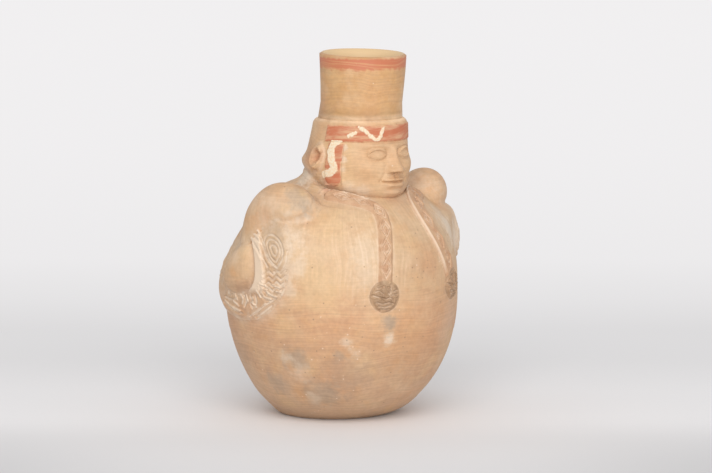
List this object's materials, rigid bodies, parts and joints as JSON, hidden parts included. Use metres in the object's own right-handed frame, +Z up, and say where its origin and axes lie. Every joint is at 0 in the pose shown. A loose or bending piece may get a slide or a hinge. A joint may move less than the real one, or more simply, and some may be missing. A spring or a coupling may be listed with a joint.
{
  "type": "figural ceramic jar",
  "caption": "Hand-built earthenware figure jar with an egg-shaped body, a head, a flaring spout, shoulder arms, side reliefs, chest straps and round pendants.",
  "frame": {"origin": "centre of the flat resting face under the base disc", "axes": "+Z up through the spout, -Y towards the face, +X to the figure's left"},
  "size_m": [0.1746, 0.1551, 0.2429],
  "materials": {
    "base_disc": "burnished earthenware, low sheen",
    "body_front": "burnished earthenware, low sheen",
    "body_back": "burnished earthenware, low sheen",
    "head_front": "burnished earthenware, low sheen",
    "head_back": "burnished earthenware, low sheen",
    "spout": "burnished earthenware, low sheen",
    "headband": "iron-red slip, matt",
    "flap_right": "iron-red slip, matt",
    "ear_right": "burnished earthenware, low sheen",
    "side_panel_right": "burnished earthenware, low sheen",
    "side_boss_right": "burnished earthenware, low sheen",
    "arm_right": "burnished earthenware, low sheen",
    "pendant_right": "smoke-darkened earthenware, matt",
    "strap_right": "burnished earthenware, low sheen",
    "flap_left": "iron-red slip, matt",
    "ear_left": "burnished earthenware, low sheen",
    "side_panel_left": "burnished earthenware, low sheen",
    "side_boss_left": "burnished earthenware, low sheen",
    "arm_left": "burnished earthenware, low sheen",
    "pendant_left": "smoke-darkened earthenware, matt",
    "strap_left": "burnished earthenware, low sheen"
  },
  "bodies": {
    "root": {"base_disc": "base_disc", "body_front": "body_front", "body_back": "body_back", "head_front": "head_front", "head_back": "head_back", "spout": "spout", "headband": "headband", "flap_right": "flap_right", "ear_right": "ear_right", "side_panel_right": "side_panel_right", "side_boss_right": "side_boss_right", "arm_right": "arm_right", "pendant_right": "pendant_right", "strap_right": "strap_right", "flap_left": "flap_left", "ear_left": "ear_left", "side_panel_left": "side_panel_left", "side_boss_left": "side_boss_left", "arm_left": "arm_left", "pendant_left": "pendant_left", "strap_left": "strap_left"}
  },
  "joints": []
}
